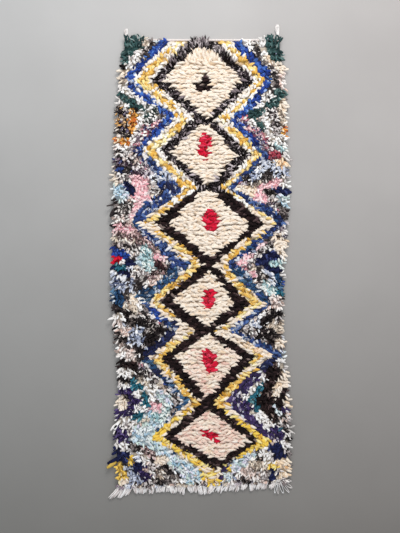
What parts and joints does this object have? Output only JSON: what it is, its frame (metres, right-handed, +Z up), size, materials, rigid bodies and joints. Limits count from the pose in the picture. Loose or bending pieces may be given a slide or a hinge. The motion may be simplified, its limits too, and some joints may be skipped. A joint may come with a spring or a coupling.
{
  "type": "boucherouite rug",
  "caption": "Shaggy hand-knotted rag runner lying flat, with stacked diamonds down its middle, a plain woven heading, two corner tassels and a fringed lower end",
  "frame": {"origin": "on the floor under the middle of the pile, on the runner's flat underside", "axes": "+Z up from the floor, +Y along the runner's length towards the heading and its corner tassels, +X across it to the right when the heading is at the top"},
  "size_m": [0.9634, 2.3767, 0.0303],
  "materials": {
    "rag_pile": "matt knotted wool and cotton rag pile",
    "warp_yarn": "matt off-white plied yarn"
  },
  "bodies": {
    "root": {"knotted_pile": "rag_pile", "bottom_fringe": "warp_yarn", "top_heading": "warp_yarn", "corner_tassel_left": "warp_yarn", "corner_tassel_right": "warp_yarn"}
  },
  "joints": []
}
